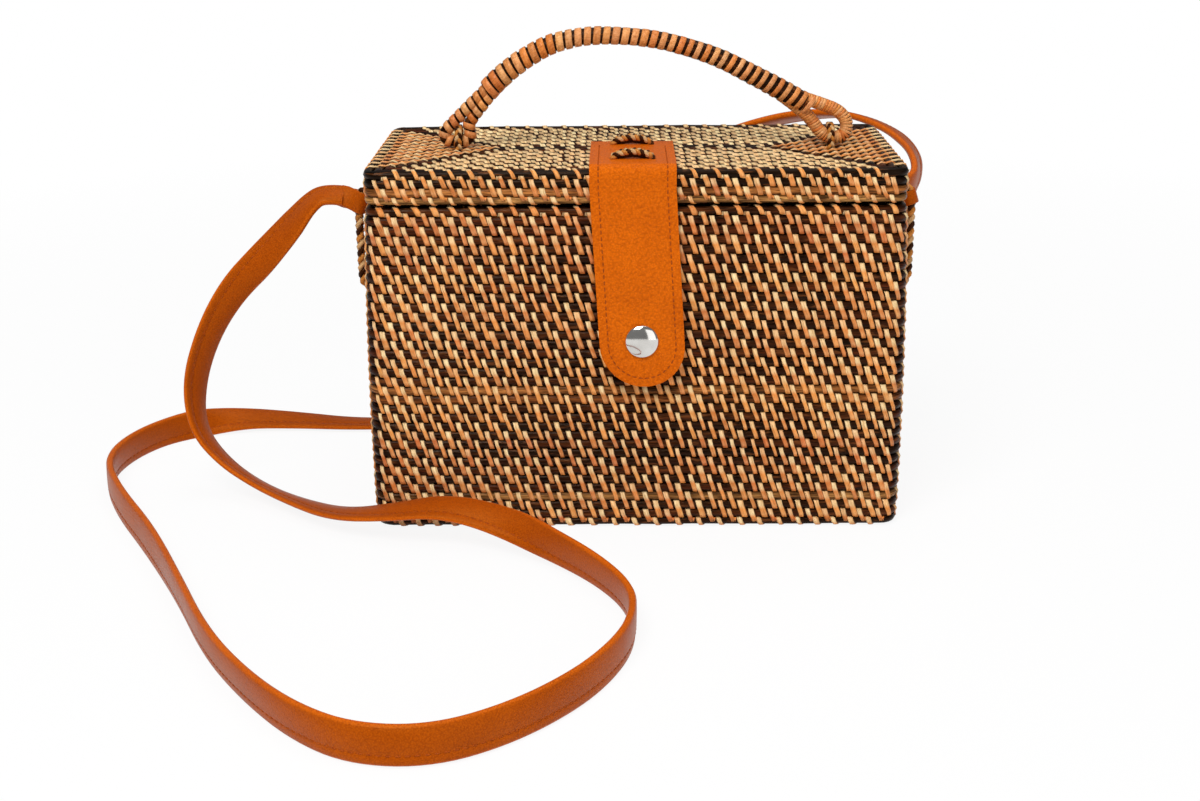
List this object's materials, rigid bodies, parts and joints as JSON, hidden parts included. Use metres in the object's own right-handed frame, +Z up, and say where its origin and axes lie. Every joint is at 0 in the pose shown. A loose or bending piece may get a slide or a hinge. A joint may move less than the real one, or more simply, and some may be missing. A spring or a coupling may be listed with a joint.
{
  "type": "basket box bag",
  "caption": "Woven rattan box bag with a hinged lid, wrapped arch handle, leather flap with a snap fastener and a long leather shoulder strap.",
  "frame": {"origin": "middle of the flat base, on the surface the bag stands on", "axes": "+X along the bag's long side to the right as seen from the front, +Y to the back, +Z up; the flap is on the -Y side"},
  "size_m": [0.3611, 0.3528, 0.1945],
  "materials": {
    "rattan": "woven, satin",
    "braid": "braided, satin",
    "cane": "satin",
    "flap_leather": "grained, satin",
    "strap_leather": "grained, satin",
    "snap_metal": "polished"
  },
  "bodies": {
    "basket": {"basket_shell": "rattan", "strap_loop_left": "braid", "strap_loop_right": "braid", "hinge_tie_left": "braid", "hinge_tie_right": "braid", "snap_stud": "snap_metal", "snap_post": "snap_metal", "strap_eye_left": "strap_leather", "strap_eye_right": "strap_leather", "shoulder_strap": "strap_leather"},
    "lid": {"lid_shell": "rattan", "handle_ring_left": "braid", "handle_ring_right": "braid", "flap_anchor": "flap_leather", "flap_tie_front": "braid", "flap_tie_rear": "braid"},
    "flap": {"flap_tongue": "flap_leather", "snap_cap": "snap_metal", "snap_socket": "snap_metal"},
    "handle": {"handle_core": "cane", "handle_wrap": "cane"}
  },
  "joints": [
    {"name": "lid_hinge", "type": "hinge", "parent": "basket", "child": "lid", "pos_m": [0, 0.0505, 0.13215], "axis": [-1, 0, 0], "range_deg": [0, 95]},
    {"name": "flap_fold", "type": "hinge", "parent": "lid", "child": "flap", "pos_m": [0, -0.05235, 0.139], "axis": [-1, 0, 0], "range_deg": [0, 100]},
    {"name": "handle_swing", "type": "hinge", "parent": "lid", "child": "handle", "pos_m": [0.004, 0, 0.149], "axis": [1, 0, 0], "range_deg": [-75, 75]}
  ]
}
